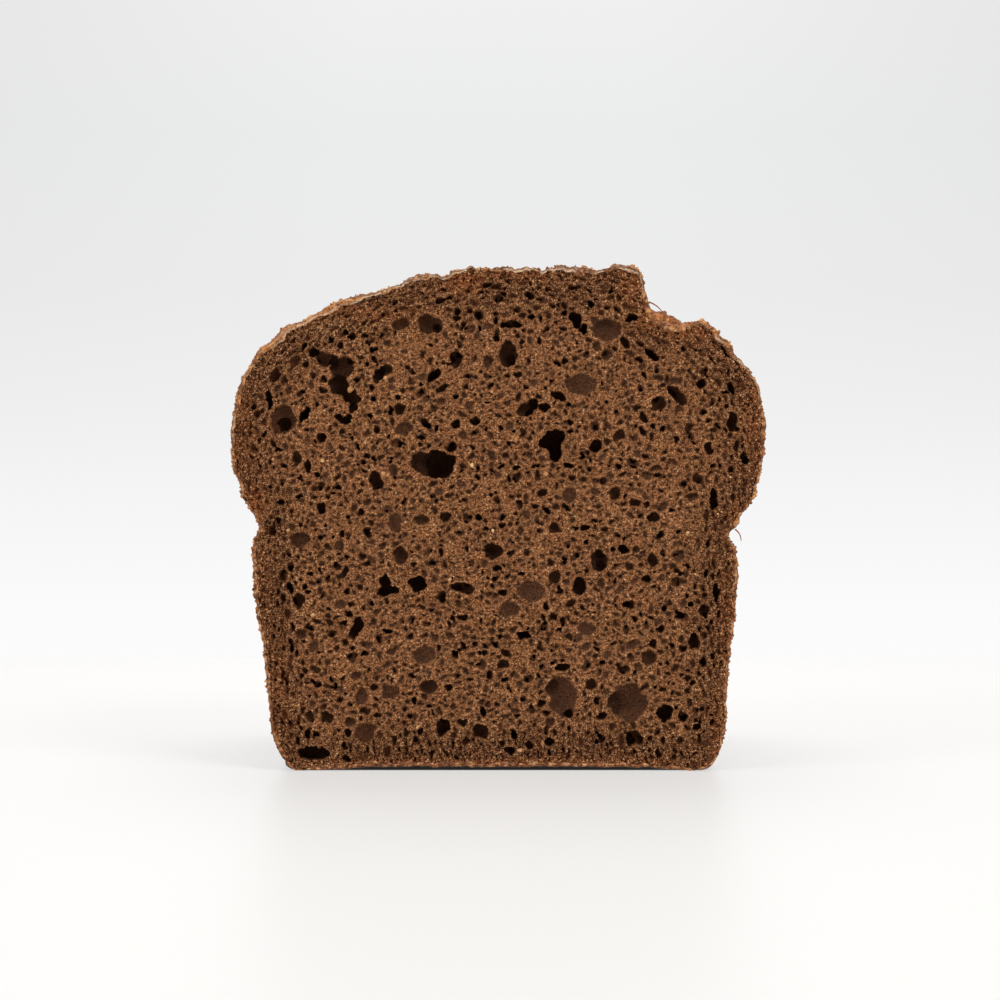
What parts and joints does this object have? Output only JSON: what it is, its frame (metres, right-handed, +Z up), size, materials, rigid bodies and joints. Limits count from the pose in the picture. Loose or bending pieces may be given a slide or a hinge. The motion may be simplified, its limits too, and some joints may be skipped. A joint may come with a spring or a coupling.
{
  "type": "tin loaf",
  "caption": "Half of a dark wholemeal tin loaf: square tin-shaped base, risen overhanging crown with a torn step, and a flat cut face with open air cells.",
  "frame": {"origin": "middle of the bounding box at its bottom, where the loaf rests", "axes": "+Z up, +X across the loaf from side to side, -Y out of the cut face, +Y towards the heel"},
  "size_m": [0.1342, 0.1202, 0.1275],
  "materials": {
    "baked_crust": "matt dark brown crust and open brown crumb"
  },
  "bodies": {
    "root": {"loaf": "baked_crust"}
  },
  "joints": []
}
